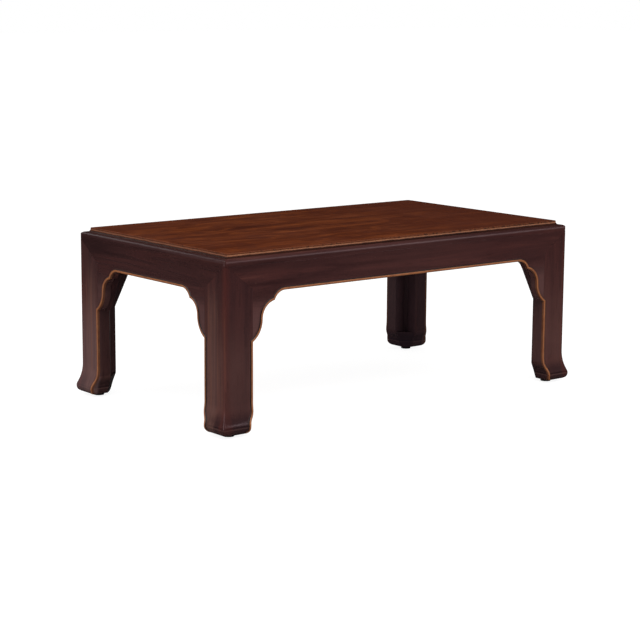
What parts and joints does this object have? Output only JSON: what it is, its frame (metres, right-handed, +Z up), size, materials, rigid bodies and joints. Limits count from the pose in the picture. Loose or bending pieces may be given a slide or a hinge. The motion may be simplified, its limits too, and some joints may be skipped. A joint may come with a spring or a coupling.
{
  "type": "kang table",
  "caption": "Low rectangular table with a raised veneered top, mitred aprons with cusped brackets, tan beads along the openings and feet that curl outwards.",
  "frame": {"origin": "on the floor under the middle of the table", "axes": "+X along the table's length, +Y from front to back, +Z up"},
  "size_m": [1.099, 0.637, 0.417],
  "materials": {
    "lacquered_wood": "dark brown-purple semi-gloss lacquer over hardwood",
    "figured_veneer": "polished reddish-brown figured veneer, grain along the length",
    "lipping_wood": "dark cove with a worn tan arris",
    "bead_wood": "tan wood with a worn satin finish",
    "core_board": "plain sawn board, unfinished",
    "plain_wood": "plain softwood, unfinished",
    "glide_plastic": "dark matt plastic, scuffed underneath",
    "fixing_steel": "plain steel, dull and lightly oxidised"
  },
  "bodies": {
    "root": {"back_apron": "lacquered_wood", "back_apron_bead": "bead_wood", "back_cleat": "plain_wood", "back_frame_rail": "lacquered_wood", "back_left_corner_block": "plain_wood", "back_left_glide": "glide_plastic", "back_left_leg": "lacquered_wood", "back_left_leg_end_bead": "bead_wood", "back_left_leg_face_bead": "bead_wood", "back_lipping": "lipping_wood", "back_right_corner_block": "plain_wood", "back_right_glide": "glide_plastic", "back_right_leg": "lacquered_wood", "back_right_leg_end_bead": "bead_wood", "back_right_leg_face_bead": "bead_wood", "batten_nails": "fixing_steel", "cleat_nails": "fixing_steel", "corner_block_nails": "fixing_steel", "frame_splines": "plain_wood", "front_apron": "lacquered_wood", "front_apron_bead": "bead_wood", "front_cleat": "plain_wood", "front_frame_rail": "lacquered_wood", "front_left_corner_block": "plain_wood", "front_left_glide": "glide_plastic", "front_left_leg": "lacquered_wood", "front_left_leg_end_bead": "bead_wood", "front_left_leg_face_bead": "bead_wood", "front_lipping": "lipping_wood", "front_right_corner_block": "plain_wood", "front_right_glide": "glide_plastic", "front_right_leg": "lacquered_wood", "front_right_leg_end_bead": "bead_wood", "front_right_leg_face_bead": "bead_wood", "glide_nails": "fixing_steel", "left_apron": "lacquered_wood", "left_apron_bead": "bead_wood", "left_batten": "plain_wood", "left_cleat": "plain_wood", "left_frame_rail": "lacquered_wood", "left_lipping": "lipping_wood", "right_apron": "lacquered_wood", "right_apron_bead": "bead_wood", "right_batten": "plain_wood", "right_cleat": "plain_wood", "right_frame_rail": "lacquered_wood", "right_lipping": "lipping_wood", "top_core": "core_board", "top_nails": "fixing_steel", "top_veneer": "figured_veneer"}
  },
  "joints": []
}
